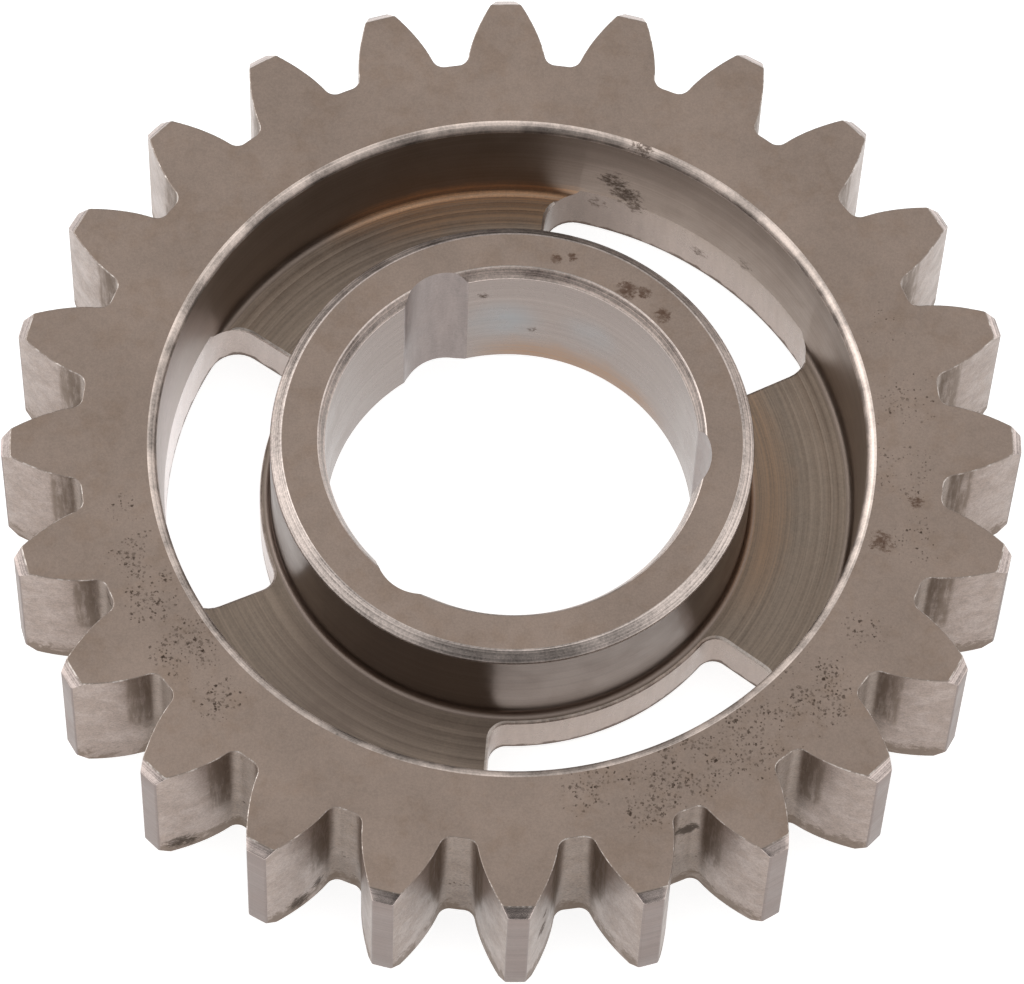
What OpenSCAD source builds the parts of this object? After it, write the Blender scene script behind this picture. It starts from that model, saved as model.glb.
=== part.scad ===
// Steel spur pinion gear with a dished web, three lightening slots and an oil-grooved bore.
// The gear lies flat: +Z runs up its bore, and the origin is the centre of its lower face.
// One tooth is centred on +Y. Angles are counted counter-clockwise from +X, seen from above.

/* [Teeth] */
// Number of teeth
teeth = 24; // [22:1:28]
// Tooth module, the pitch diameter over the number of teeth
tooth_module = 2.5; // [2.3:0.1:3]
// Pressure angle of the involute flanks
pressure_angle = 20; // [18:0.5:22]
// Profile shift, in modules
profile_shift = 0.48; // [0.3:0.02:0.5]
// Depth of the tooth below the pitch line before the shift, in modules
dedendum = 1.06; // [1:0.02:1.2]
// Radius of the fillet at each side of a root
root_fillet_r = 0.8; // [0.4:0.1:0.9]
// Turned 45 degree chamfer on the tooth tips, at both faces
tip_chamfer = 0.65; // [0.3:0.05:1]

/* [Rim] */
// Width of the toothed rim
face_w = 12.2; // [9:0.1:16]
// Thickness of the rim from the root circle to the top of its inner wall
rim_t = 5.1; // [3.5:0.1:6]
// Draft of the inner wall of the rim, in degrees
rim_draft = 3; // [1:0.5:5]
// Chamfer on the inner edge of the rim, measured across the upper face
rim_chamfer_w = 0.55; // [0.3:0.05:1]
// The same chamfer, measured down the wall
rim_chamfer_h = 0.42; // [0.2:0.02:0.8]

/* [Web] */
// Thickness of the web
web_t = 3.85; // [2.5:0.05:6]
// Depth of the turned relief under the web
relief_h = 0.25; // [0.15:0.05:0.6]
// How far the underside relief reaches outside the slots
relief_margin = 0.6; // [0.3:0.1:1]
// Fillet at the foot of the rim wall and of the hub
foot_fillet_r = 0.5; // [0.3:0.1:0.6]

/* [Slots] */
// Number of lightening slots
slot_count = 3; // [2:1:4]
// Angle that one slot spans, in degrees
slot_span = 57.7; // [40:0.1:64]
// Direction of the middle of the first slot, in degrees
slot_angle = 53.8; // [45:0.1:60]
// Width of the narrow ring of web between the hub and a slot
slot_ring_w = 0.75; // [0.65:0.05:1.5]
// How far a slot bites into the foot of the rim wall
slot_bite = 0.05; // [0.02:0.01:0.3]
// Corner radius of a slot, beside the rim
slot_outer_corner_r = 2; // [1:0.1:2.2]
// Corner radius of a slot, beside the hub
slot_inner_corner_r = 1.2; // [0.6:0.1:1.5]

/* [Hub] */
// Outer diameter of the hub
hub_d = 32; // [30.5:0.1:34]
// Height of the hub above the upper face of the rim
hub_proud = 0.4; // [0.1:0.1:1.5]
// Chamfer on the outer edge of the hub, measured across its top
hub_chamfer_w = 0.65; // [0.3:0.05:1]
// The same chamfer, measured down the wall
hub_chamfer_h = 0.95; // [0.3:0.05:1.5]

/* [Bore] */
// Diameter of the bore
bore_d = 24.7; // [22:0.1:26]
// Chamfer at the upper end of the bore, measured across the hub
bore_chamfer_w = 0.45; // [0.2:0.05:0.6]
// The same chamfer, measured down the bore
bore_chamfer_h = 0.9; // [0.3:0.05:1.4]
// 45 degree chamfer at the lower end of the bore
bore_exit_chamfer = 0.4; // [0.2:0.05:0.6]
// Number of oil grooves along the bore
groove_count = 3; // [2:1:4]
// Radius of the round section of a groove
groove_r = 3; // [2:0.1:4]
// Depth of a groove beyond the bore
groove_depth = 0.85; // [0.4:0.05:1.1]
// Angle from the middle of a slot to the next groove, in degrees
groove_offset = 60; // [50:1:70]

/* [Hidden] */

steel = [0.57, 0.52, 0.48];
degrees_per_radian = 180 / PI;

// Steps that each curved stretch of a computed outline is drawn with
flank_steps = 8;
fillet_steps = 5;
corner_steps = 6;
// Sides of the turned surfaces
turned_sides = 180;
// How far a cutting body runs past the surface that it cuts
cut_over = 1;
// How far the tooth outline runs past the turned tip
tip_over = 0.2;
// How far a slot's corner arc crosses the wall that it blends into
corner_over = 0.02;

pitch_r = tooth_module * teeth / 2;
base_r = pitch_r * cos(pressure_angle);
tip_r = pitch_r + tooth_module * (1 + profile_shift);
root_r = pitch_r + tooth_module * (profile_shift - dedendum);

web_top_z = relief_h + web_t;
hub_top_z = face_w + hub_proud;
hub_r = hub_d / 2;
bore_r = bore_d / 2;

rim_wall_top_r = root_r - rim_t;
rim_wall_h = face_w - rim_chamfer_h - web_top_z;
rim_wall_foot_r = rim_wall_top_r - rim_wall_h * tan(rim_draft);

slot_in_r = hub_r + slot_ring_w;
slot_out_r = rim_wall_foot_r + slot_bite;
relief_out_r = slot_out_r + relief_margin;

// Point at a radius and an angle
function polar(r, angle) = r * [cos(angle), sin(angle)];

// Points of an arc, from one direction to another
function arc(centre, r, from, to, steps) =
    [for (i = [0 : steps]) centre + polar(r, from + (to - from) * i / steps)];

// Points mirrored in the X axis and taken in the opposite order
function mirrored(points) =
    [for (i = [len(points) - 1 : -1 : 0]) [points[i].x, -points[i].y]];

// Involute function, in degrees
function involute(angle) = tan(angle) * degrees_per_radian - angle;

// Half the angle that a tooth fills on the base circle
base_half_angle = (90 + 2 * profile_shift * tan(pressure_angle) * degrees_per_radian) / teeth
                + involute(pressure_angle);

// Free length of the string that draws the involute out to a radius
function string_length(r) = sqrt(r * r - base_r * base_r);

// Point of the upper flank of a tooth centred on +X, drawn by a string of this length
function flank_point(string) =
    polar(norm([base_r, string]),
          base_half_angle - string / base_r * degrees_per_radian + atan(string / base_r));

// An offset of an involute is another involute of the same base circle,
// so the centre of the root fillet lies on the flank offset by the fillet's radius.
fillet_string = string_length(root_r + root_fillet_r);
fillet_foot_angle = base_half_angle
                  - (fillet_string - root_fillet_r) / base_r * degrees_per_radian;
fillet_centre_angle = fillet_foot_angle + atan(fillet_string / base_r);
fillet_centre = polar(root_r + root_fillet_r, fillet_centre_angle);

// Upper side of one tooth centred on +X, from its tip down to the root circle
function tooth_side() =
    let (start = string_length(tip_r + tip_over), end = fillet_string - root_fillet_r)
    concat([for (i = [0 : flank_steps - 1]) flank_point(start + (end - start) * i / flank_steps)],
           arc(fillet_centre, root_fillet_r,
               fillet_foot_angle + 270, fillet_centre_angle + 180, fillet_steps));

// Points turned round the bore
function turned(points, angle) =
    [for (p = points) [p.x * cos(angle) - p.y * sin(angle), p.x * sin(angle) + p.y * cos(angle)]];

// Outline of all the teeth, one of them centred on +Y
function gear_outline() =
    let (side = tooth_side(), tooth = concat(mirrored(side), side))
    [for (i = [0 : teeth - 1]) each turned(tooth, 90 + i * 360 / teeth)];

// Half section of the turned blank, as radius and height, filled in as far as the axis
function blank_section() = [
    [0, 0],
    [hub_r, 0], [hub_r, relief_h], [relief_out_r, relief_h], [relief_out_r, 0],
    [tip_r - tip_chamfer, 0], [tip_r, tip_chamfer],
    [tip_r, face_w - tip_chamfer], [tip_r - tip_chamfer, face_w],
    [rim_wall_top_r + rim_chamfer_w, face_w], [rim_wall_top_r, face_w - rim_chamfer_h],
    each rim_foot_fillet(),
    each hub_foot_fillet(),
    [hub_r, hub_top_z - hub_chamfer_h], [hub_r - hub_chamfer_w, hub_top_z],
    [0, hub_top_z],
];

// Fillet between the drafted rim wall and the web, from the wall to the web
function rim_foot_fillet() =
    let (centre = [rim_wall_foot_r - foot_fillet_r * tan((90 - rim_draft) / 2),
                   web_top_z + foot_fillet_r])
    arc(centre, foot_fillet_r, -rim_draft, -90, fillet_steps);

// Fillet between the web and the hub, from the web to the hub
function hub_foot_fillet() =
    arc([hub_r + foot_fillet_r, web_top_z + foot_fillet_r], foot_fillet_r, 270, 180, fillet_steps);

module turned_blank() {
    rotate_extrude($fn = turned_sides) polygon(blank_section());
}

module toothed_prism() {
    translate([0, 0, -cut_over])
        linear_extrude(hub_top_z + 2 * cut_over) polygon(gear_outline());
}

// One end of a slot whose middle lies on +X, from inside the hub out past the rim wall
function slot_end() =
    let (half = slot_span / 2,
         in_r = slot_in_r - corner_over + slot_inner_corner_r,
         out_r = slot_out_r + corner_over - slot_outer_corner_r,
         in_angle = half - asin(slot_inner_corner_r / in_r),
         out_angle = half - asin(slot_outer_corner_r / out_r))
    concat([polar(slot_in_r - cut_over, in_angle)],
           arc(polar(in_r, in_angle), slot_inner_corner_r, in_angle + 180, half + 90, corner_steps),
           arc(polar(out_r, out_angle), slot_outer_corner_r, half + 90, out_angle, corner_steps),
           [polar(slot_out_r / cos(half) + cut_over, out_angle)]);

// Curved slot through the web, also cut up along the foot of the rim wall
module slot() {
    // Height of the cut, which leaves nothing above the web standing
    height = hub_top_z + 2 * cut_over;
    translate([0, 0, -cut_over]) difference() {
        intersection() {
            cylinder(h = height, r = slot_out_r, $fn = turned_sides);
            linear_extrude(height) polygon(concat(slot_end(), mirrored(slot_end())));
        }
        translate([0, 0, -cut_over])
            cylinder(h = height + 2 * cut_over, r = slot_in_r, $fn = turned_sides);
    }
}

module slots() {
    for (i = [0 : slot_count - 1]) rotate(slot_angle + i * 360 / slot_count) slot();
}

// Round oil groove along the bore, on +X
module oil_groove() {
    translate([bore_r + groove_depth - groove_r, 0, -cut_over])
        cylinder(h = hub_top_z + 2 * cut_over, r = groove_r, $fn = turned_sides / 2);
}

// Chamfered bore with its oil grooves, which lie between the slots
module bore() {
    upper_slope = bore_chamfer_w / bore_chamfer_h;
    translate([0, 0, -cut_over])
        cylinder(h = hub_top_z + 2 * cut_over, r = bore_r, $fn = turned_sides);
    translate([0, 0, hub_top_z - bore_chamfer_h])
        cylinder(h = bore_chamfer_h + cut_over, r1 = bore_r,
                 r2 = bore_r + bore_chamfer_w + cut_over * upper_slope, $fn = turned_sides);
    translate([0, 0, -cut_over])
        cylinder(h = bore_exit_chamfer + cut_over, r1 = bore_r + bore_exit_chamfer + cut_over,
                 r2 = bore_r, $fn = turned_sides);
    for (i = [0 : groove_count - 1])
        rotate(slot_angle + groove_offset + i * 360 / groove_count) oil_groove();
}

// The whole gear, cut from one piece of steel
module pinion_gear() {
    color(steel) difference() {
        intersection() {
            turned_blank();
            toothed_prism();
        }
        slots();
        bore();
    }
}

pinion_gear();
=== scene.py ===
"""Looks of a steel spur pinion gear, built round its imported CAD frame.

The gear lies flat, with its bore upright and the middle of its lower face at the origin.
Sizes are in millimetres, as on a workshop drawing, and MM turns them into metres.
"""

import logging
import math
import random
from contextlib import contextmanager
from dataclasses import dataclass
from enum import IntEnum
from functools import reduce
from typing import Iterator, Optional, Sequence, Union

import bmesh
import bpy
from mathutils import Matrix, Vector


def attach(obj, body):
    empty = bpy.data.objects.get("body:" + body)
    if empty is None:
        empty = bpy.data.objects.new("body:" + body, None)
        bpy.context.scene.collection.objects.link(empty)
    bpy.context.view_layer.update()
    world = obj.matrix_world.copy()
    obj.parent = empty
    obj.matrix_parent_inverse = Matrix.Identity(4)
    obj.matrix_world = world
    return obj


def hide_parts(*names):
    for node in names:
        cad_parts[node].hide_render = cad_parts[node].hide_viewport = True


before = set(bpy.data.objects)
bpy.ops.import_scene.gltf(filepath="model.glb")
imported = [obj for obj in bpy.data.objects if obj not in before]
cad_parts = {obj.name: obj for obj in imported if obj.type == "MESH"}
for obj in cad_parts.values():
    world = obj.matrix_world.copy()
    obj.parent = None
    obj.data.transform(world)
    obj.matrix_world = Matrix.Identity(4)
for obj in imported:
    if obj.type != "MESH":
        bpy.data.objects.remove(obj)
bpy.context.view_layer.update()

log = logging.getLogger("pinion")

MM = 0.001
# How far a length in mm may be off where two are compared
SLACK = 0.001
# Where nearly all of a noise's values lie
NOISE_RANGE = (0.3, 0.7)
# Rows that round the edge of a face: depth, inset and cut of the tip, as shares of the edge's size
EDGE_PROFILE = ((0, 1, 0.4), (0.3, 0.3, 0.1), (1, 0, 0))
Socket = bpy.types.NodeSocket
Value = Union[float, Socket, "Signal"]
Point = tuple[float, float]
Span = tuple[float, float]
Triple = tuple[float, float, float]
Colour = Triple
Paintable = Union[Colour, "Signal"]


class Zone(IntEnum):
    """The kinds of surface on the gear, each with its own finish."""

    GROUND_FACE = 0
    TOOTH_FLANK = 1
    TIP_LAND = 2
    CHAMFER = 3
    EDGE = 4
    TURNED_WALL = 5
    WEB = 6
    BORE = 7
    SLOT_WALL = 8
    OIL_GROOVE = 9
    SLOT_EDGE = 10
    HUB_WALL = 11
    RIM_ROUND = 12
    HUB_CHAMFER = 13


def polar(r: float, angle: float) -> Point:
    """Point at a radius and an angle in radians."""
    return (r * math.cos(angle), r * math.sin(angle))


def arc(centre: Point, r: float, start: float, end: float, steps: int) -> list[Point]:
    """Points of an arc.

    Args:
        centre: middle of the arc.
        r: its radius.
        start: first direction, in radians.
        end: last direction, in radians.
        steps: number of stretches between the points.

    Returns:
        The points, both ends included.
    """
    found = []
    for i in range(steps + 1):
        x, y = polar(r, start + (end - start) * i / steps)
        found.append((centre[0] + x, centre[1] + y))
    return found


def spread(start: float, end: float, steps: int) -> list[float]:
    """Even values from start to end, both included."""
    return [start + (end - start) * i / steps for i in range(steps + 1)]


class MeshMaker:
    """Collects points and faces, each face with its zone, and makes a mesh of them."""

    def __init__(self) -> None:
        """Starts empty."""
        self.points: list[Triple] = []
        self.faces: list[list[int]] = []
        self.zones: list[int] = []

    def row(self, outline: Sequence[Point], z: float) -> list[int]:
        """Adds an outline at a height.

        Args:
            outline: points in mm.
            z: height in mm.

        Returns:
            The numbers of the new points.
        """
        first = len(self.points)
        self.points += [(x * MM, y * MM, z * MM) for x, y in outline]
        return list(range(first, len(self.points)))

    def face(self, corners: Sequence[int], zone: Zone) -> None:
        """Adds one face."""
        self.faces.append(list(corners))
        self.zones.append(int(zone))

    def strip(self, a: Sequence[int], b: Sequence[int], zones: Sequence[Zone]) -> None:
        """Joins two rows of equal length with quads.

        Args:
            a: numbers of the points of one row.
            b: numbers of the points of the next row.
            zones: the zone of each quad along the rows.
        """
        for i, zone in enumerate(zones):
            self.face((a[i], b[i], b[i + 1], a[i + 1]), zone)

    def mesh(self, name: str) -> bpy.types.Mesh:
        """Makes the mesh, with the zones as a face attribute.

        Args:
            name: the mesh's name.

        Returns:
            The new mesh.
        """
        mesh = bpy.data.meshes.new(name)
        mesh.from_pydata(self.points, [], self.faces)
        zones = mesh.attributes.new("zone", "INT", "FACE")
        zones.data.foreach_set("value", self.zones)
        mesh.update()
        return mesh


@dataclass(frozen=True)
class ToothForm:
    """Form of one tooth, centred on +X: involute flanks, round root fillets and a tip land."""

    teeth: int = 24
    module: float = 2.5
    pressure_angle: float = 20.0
    profile_shift: float = 0.48
    dedendum: float = 1.06
    root_fillet_r: float = 0.8
    tip_ease: float = 0.09
    land_steps: int = 3
    ease_steps: int = 2
    flank_steps: int = 9
    fillet_steps: int = 7
    root_steps: int = 2

    @property
    def pitch_r(self) -> float:
        """Radius of the pitch circle."""
        return self.module * self.teeth / 2

    @property
    def base_r(self) -> float:
        """Radius of the base circle."""
        return self.pitch_r * math.cos(math.radians(self.pressure_angle))

    @property
    def tip_r(self) -> float:
        """Radius of the tips."""
        return self.pitch_r + self.module * (1 + self.profile_shift)

    @property
    def root_r(self) -> float:
        """Radius of the roots."""
        return self.pitch_r + self.module * (self.profile_shift - self.dedendum)

    @property
    def base_half_angle(self) -> float:
        """Half the angle that a tooth fills on the base circle.

        Returns:
            The angle, in radians.
        """
        alpha = math.radians(self.pressure_angle)
        half = (math.pi / 2 + 2 * self.profile_shift * math.tan(alpha)) / self.teeth
        return half + math.tan(alpha) - alpha

    def flank_angle(self, r: float, inset: float) -> float:
        """Polar angle of the flank at a radius, with the flank moved in by inset."""
        alpha = math.acos(min(1.0, self.base_r / r))
        return self.base_half_angle - inset / self.base_r - (math.tan(alpha) - alpha)

    def half_outline(self, cap: float, inset: float) -> list[Point]:
        """Outline from the middle of the tip to the middle of the root.

        Args:
            cap: radius of the tip at this height.
            inset: how far the outline lies inside the full one.

        Returns:
            The points, always equally many.
        """
        corner = self.flank_angle(cap, inset)
        on_land = corner - self.tip_ease / cap
        points = [polar(cap, a) for a in spread(0, on_land, self.land_steps)]
        a, c = points[-1], polar(cap, corner)
        under = cap - self.tip_ease
        b = polar(under, self.flank_angle(under, inset))
        for t in spread(0, 1, self.ease_steps)[1:]:
            points.append(tuple((1 - t) ** 2 * a[k] + 2 * t * (1 - t) * c[k] + t * t * b[k] for k in (0, 1)))
        centre_r = self.root_r + self.root_fillet_r
        string = math.sqrt(centre_r**2 - self.base_r**2)
        foot_angle = self.base_half_angle - (string - self.root_fillet_r) / self.base_r
        centre_angle = foot_angle + math.atan(string / self.base_r)
        foot_r = math.hypot(self.base_r, string - self.root_fillet_r - inset)
        for r in spread(under, foot_r, self.flank_steps)[1:-1]:
            points.append(polar(r, self.flank_angle(r, inset)))
        points += arc(polar(centre_r, centre_angle), self.root_fillet_r + inset,
                      foot_angle + 1.5 * math.pi, centre_angle + math.pi, self.fillet_steps)
        middle = math.pi / self.teeth
        root = self.root_r - inset
        points += [polar(root, a) for a in spread(centre_angle, middle, self.root_steps)[1:]]
        return points

    def outline(self, cap: float, inset: float) -> list[Point]:
        """Outline of a whole tooth, from root to root."""
        half = self.half_outline(cap, inset)
        return [(x, -y) for x, y in half[:0:-1]] + half

    def zones(self) -> list[Zone]:
        """Zone of each stretch of the whole outline.

        Returns:
            The zones, from root to root.
        """
        half_tip = [Zone.TIP_LAND] * (self.land_steps + self.ease_steps)
        flank = [Zone.TOOTH_FLANK] * (self.flank_steps + self.fillet_steps + self.root_steps)
        return flank + 2 * half_tip + flank


@dataclass(frozen=True)
class Corner:
    """A corner of the turned section, and what follows it."""

    r: float
    z: float
    zone: Zone
    ease: float = 0.0
    edge: Zone = Zone.EDGE


@dataclass
class Blank:
    """The turned and toothed blank, made as one tooth's wedge and copied round the bore."""

    tooth: ToothForm = ToothForm()
    face_w: float = 12.2
    tip_chamfer: float = 0.65
    tip_round: float = 0.05
    tip_round_run: float = 0.06
    tip_round_drop: float = 0.014
    tip_rows: int = 3
    edge_ease: float = 0.065
    rim_round: float = 0.62
    rim_t: float = 5.1
    rim_draft: float = 3.0
    wall_drop: float = 0.42
    web_t: float = 3.85
    relief_h: float = 0.25
    relief_margin: float = 0.6
    foot_fillet_r: float = 0.5
    slot_bite: float = 0.05
    hub_d: float = 32.0
    hub_proud: float = 0.4
    hub_chamfer_w: float = 0.73
    hub_chamfer_h: float = 0.62
    bore_d: float = 24.7
    bore_chamfer_w: float = 0.45
    bore_chamfer_h: float = 0.9
    bore_exit_chamfer: float = 0.4
    core_columns: int = 10
    fillet_steps: int = 7
    round_steps: int = 10
    tool_marks: int = 8
    tool_mark_w: float = 0.12
    tool_mark_h: float = 0.005
    unmarked_w: float = 0.3
    seed: int = 24

    @property
    def web_top(self) -> float:
        """Height of the web's upper side."""
        return self.relief_h + self.web_t

    @property
    def hub_r(self) -> float:
        """Radius of the hub."""
        return self.hub_d / 2

    @property
    def bore_r(self) -> float:
        """Radius of the bore."""
        return self.bore_d / 2

    @property
    def hub_top(self) -> float:
        """Height of the hub's upper face."""
        return self.face_w + self.hub_proud

    @property
    def wall_top_r(self) -> float:
        """Radius of the rim's inner wall near its top."""
        return self.tooth.root_r - self.rim_t

    @property
    def wall_foot_r(self) -> float:
        """Radius that the rim's inner wall runs to at the web."""
        height = self.face_w - self.wall_drop - self.web_top
        return self.wall_top_r - height * math.tan(math.radians(self.rim_draft))

    @property
    def slot_out_r(self) -> float:
        """Radius of the outer wall of the slots."""
        return self.wall_foot_r + self.slot_bite

    def rows(self) -> list[tuple[float, float, float]]:
        """Rows of the toothed side, from the top face to the lower one.

        Returns:
            The height, inset and tip radius of each row.
        """
        top = []
        e, c, tip = self.edge_ease, self.tip_chamfer, self.tooth.tip_r
        for depth, inset, cut in EDGE_PROFILE:
            top.append((depth * e, inset * e, tip - c + depth * e - cut * e))
        full = c + self.tip_round_run
        top += [(c - self.tip_round, 0, tip - self.tip_round), (c, 0, tip - self.tip_round_drop), (full, 0, tip)]
        top += [(d, 0, tip) for d in spread(full, self.face_w / 2, self.tip_rows)[1:]]
        upper = [(self.face_w - d, i, cap) for d, i, cap in top]
        lower = [(d, i, cap) for d, i, cap in reversed(top[:-1])]
        return upper + lower

    def web_marks(self, start: float, end: float) -> list[Corner]:
        """Shallow tool marks turned into the web, from the rim inwards.

        Args:
            start: radius at the rim.
            end: radius at the hub.

        Returns:
            Three corners for each mark.
        """
        rng = random.Random(self.seed)
        found = []
        step = (start - end) / self.tool_marks
        for i in range(self.tool_marks):
            r = start - step * (i + rng.uniform(0.3, 0.7))
            deep = self.tool_mark_h * rng.uniform(0.5, 1.6)
            for shift, drop in ((0.5, 0), (0, deep), (-0.5, 0)):
                found.append(Corner(r + shift * self.tool_mark_w, self.web_top - drop, Zone.WEB))
        return found

    def section(self) -> list[Corner]:
        """Half section of the core, from the top face down the rim, in to the bore and back under the web.

        Returns:
            The corners, sharp.
        """
        e, f, web = self.edge_ease, self.foot_fillet_r, self.web_top
        w, bright = Zone.TURNED_WALL, Zone.HUB_CHAMFER
        draft = math.radians(self.rim_draft)
        rim_centre = (self.wall_foot_r - f * math.tan((math.pi / 2 - draft) / 2), web + f)
        hub_centre = (self.hub_r + f, web + f)
        rim_foot = arc(rim_centre, f, -draft, -math.pi / 2, self.fillet_steps)
        hub_foot = arc(hub_centre, f, 1.5 * math.pi, math.pi, self.fillet_steps)
        relief_r = self.slot_out_r + self.relief_margin
        round_centre = (self.wall_top_r + self.rim_round, self.face_w - self.rim_round)
        rim_edge = arc(round_centre, self.rim_round, math.pi / 2, math.pi - draft, self.round_steps)
        return [
            *[Corner(r, z, Zone.RIM_ROUND) for r, z in rim_edge[:-1]],
            Corner(*rim_edge[-1], w),
            *[Corner(r, z, w) for r, z in rim_foot[:-1]],
            Corner(*rim_foot[-1], Zone.WEB),
            *self.web_marks(rim_foot[-1][0], hub_foot[0][0] + self.unmarked_w),
            *[Corner(r, z, Zone.HUB_WALL) for r, z in hub_foot],
            Corner(self.hub_r, self.hub_top - self.hub_chamfer_h, bright, e, bright),
            Corner(self.hub_r - self.hub_chamfer_w, self.hub_top, Zone.GROUND_FACE, e, bright),
            Corner(self.bore_r + self.bore_chamfer_w, self.hub_top, bright, e, bright),
            Corner(self.bore_r, self.hub_top - self.bore_chamfer_h, Zone.BORE, e, bright),
            Corner(self.bore_r, self.bore_exit_chamfer, Zone.CHAMFER, e),
            Corner(self.bore_r + self.bore_exit_chamfer, 0, Zone.GROUND_FACE, e),
            Corner(self.hub_r, 0, w, e),
            Corner(self.hub_r, self.relief_h, Zone.WEB),
            Corner(relief_r, self.relief_h, w),
            Corner(relief_r, 0, Zone.GROUND_FACE, e),
        ]

    def eased_section(self) -> list[Corner]:
        """The half section with its corners eased by narrow facets.

        Returns:
            The corners, each eased one as two.
        """
        corners = self.section()
        found = []
        for i, corner in enumerate(corners):
            if not corner.ease:
                found.append(corner)
                continue
            here = Vector((corner.r, corner.z))
            before = corners[i - 1]
            after = corners[i + 1] if i + 1 < len(corners) else Corner(corner.r + 1, corner.z, corner.zone)
            a = here + (Vector((before.r, before.z)) - here).normalized() * corner.ease
            b = here + (Vector((after.r, after.z)) - here).normalized() * corner.ease
            found += [Corner(a.x, a.y, corner.edge), Corner(b.x, b.y, corner.zone)]
        return found

    def wedge(self) -> bpy.types.Mesh:
        """Makes one tooth's wedge of the blank, centred on +X and open at its two cut sides.

        Returns:
            The mesh.
        """
        maker = MeshMaker()
        half = math.pi / self.tooth.teeth
        flanks = self.tooth.zones()
        rows = self.rows()
        numbers = [maker.row(self.tooth.outline(cap, inset), z) for z, inset, cap in rows]
        for i, (upper, lower) in enumerate(zip(rows, rows[1:])):
            depth = max(min(self.face_w - row[0], row[0]) for row in (upper, lower))
            zones = list(flanks)
            if depth <= self.tip_chamfer + SLACK:
                zones = [Zone.CHAMFER if z == Zone.TIP_LAND else z for z in zones]
            if depth <= self.edge_ease + SLACK:
                zones = [Zone.EDGE] * len(zones)
            maker.strip(numbers[i], numbers[i + 1], zones)
        angles = spread(-half, half, self.core_columns)
        section = self.eased_section()
        rings = [maker.row([polar(c.r, a) for a in angles], c.z) for c in section]
        for i, corner in enumerate(section[:-1]):
            maker.strip(rings[i], rings[i + 1], [corner.zone] * self.core_columns)
        maker.face(numbers[0] + rings[0][::-1], Zone.GROUND_FACE)
        maker.face(numbers[-1][::-1] + rings[-1], Zone.GROUND_FACE)
        return maker.mesh("gear_wedge")


@dataclass
class Slots:
    """Cutter of one curved lightening slot, which also eases the edges that it leaves."""

    blank: Blank
    count: int = 3
    angle: float = 53.8
    span: float = 57.7
    ring_w: float = 0.75
    outer_corner_r: float = 2.0
    inner_corner_r: float = 1.2
    ease: float = 0.2
    lower_ease: float = 0.08
    over: float = 0.1
    rise: float = 0.02
    clear_h: float = 0.3
    blend_w: float = 0.3
    corner_steps: int = 9
    arc_steps: int = 24

    def half_outline(self) -> list[tuple[Point, float]]:
        """Half of the slot's outline, from its inner middle outwards.

        Returns:
            Each point with the direction that it faces.
        """
        half = math.radians(self.span) / 2
        in_r, out_r = self.blank.hub_r + self.ring_w, self.blank.slot_out_r
        ci, co = in_r + self.inner_corner_r, out_r - self.outer_corner_r
        ai = half - math.asin(self.inner_corner_r / ci)
        ao = half - math.asin(self.outer_corner_r / co)
        found = [(polar(in_r, a), a + math.pi) for a in spread(0, ai, self.arc_steps)[:-1]]
        for centre, r, start, end in ((polar(ci, ai), self.inner_corner_r, ai + math.pi, half + math.pi / 2),
                                      (polar(co, ao), self.outer_corner_r, half + math.pi / 2, ao)):
            turn = spread(start, end, self.corner_steps)
            found += list(zip(arc(centre, r, start, end, self.corner_steps), turn))
        return found + [(polar(out_r, a), a) for a in spread(ao, 0, self.arc_steps)[1:]]

    def outline(self, flare: float, limit_r: Optional[float]) -> list[Point]:
        """The whole outline, moved out by flare.

        Args:
            flare: how far each point moves the way it faces.
            limit_r: radius beyond which nothing moves, or None.

        Returns:
            The outline's points.
        """
        half = []
        for (x, y), way in self.half_outline():
            share = 1.0
            if limit_r is not None:
                share = min(1.0, max(0.0, (limit_r - math.hypot(x, y)) / self.blend_w))
            half.append((x + flare * share * math.cos(way), y + flare * share * math.sin(way)))
        return half + [(x, -y) for x, y in half[-2:0:-1]]

    def cutter(self) -> bpy.types.Mesh:
        """Makes one slot's cutter, centred on +X.

        Returns:
            The mesh.
        """
        blank, e, low = self.blank, self.ease, self.lower_ease
        foot = blank.wall_foot_r - blank.foot_fillet_r
        maker = MeshMaker()
        rings = []
        for z, flare, limit in ((-self.over, low + self.over + blank.relief_h, None),
                                (blank.relief_h + low, 0, None), (blank.web_top - e, 0, foot),
                                (blank.web_top - 0.4 * e, 0.3 * e, foot),
                                (blank.web_top + self.rise, e + self.rise, foot),
                                (blank.web_top + self.clear_h, 0, foot), (blank.hub_top + 1, 0, foot)):
            outline = self.outline(flare, limit)
            rings.append(maker.row(outline + outline[:1], z))
        flared = [math.hypot(x, y) < foot - self.over for x, y in outline + outline[:1]]
        for i, (a, b) in enumerate(zip(rings, rings[1:])):
            eased = i in (2, 3)
            maker.strip(a, b, [Zone.SLOT_EDGE if eased and near else Zone.SLOT_WALL for near in flared[1:]])
        maker.face(rings[0][:-1], Zone.SLOT_WALL)
        maker.face(rings[-1][-2::-1], Zone.SLOT_WALL)
        return maker.mesh("slot_cutter")


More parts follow.
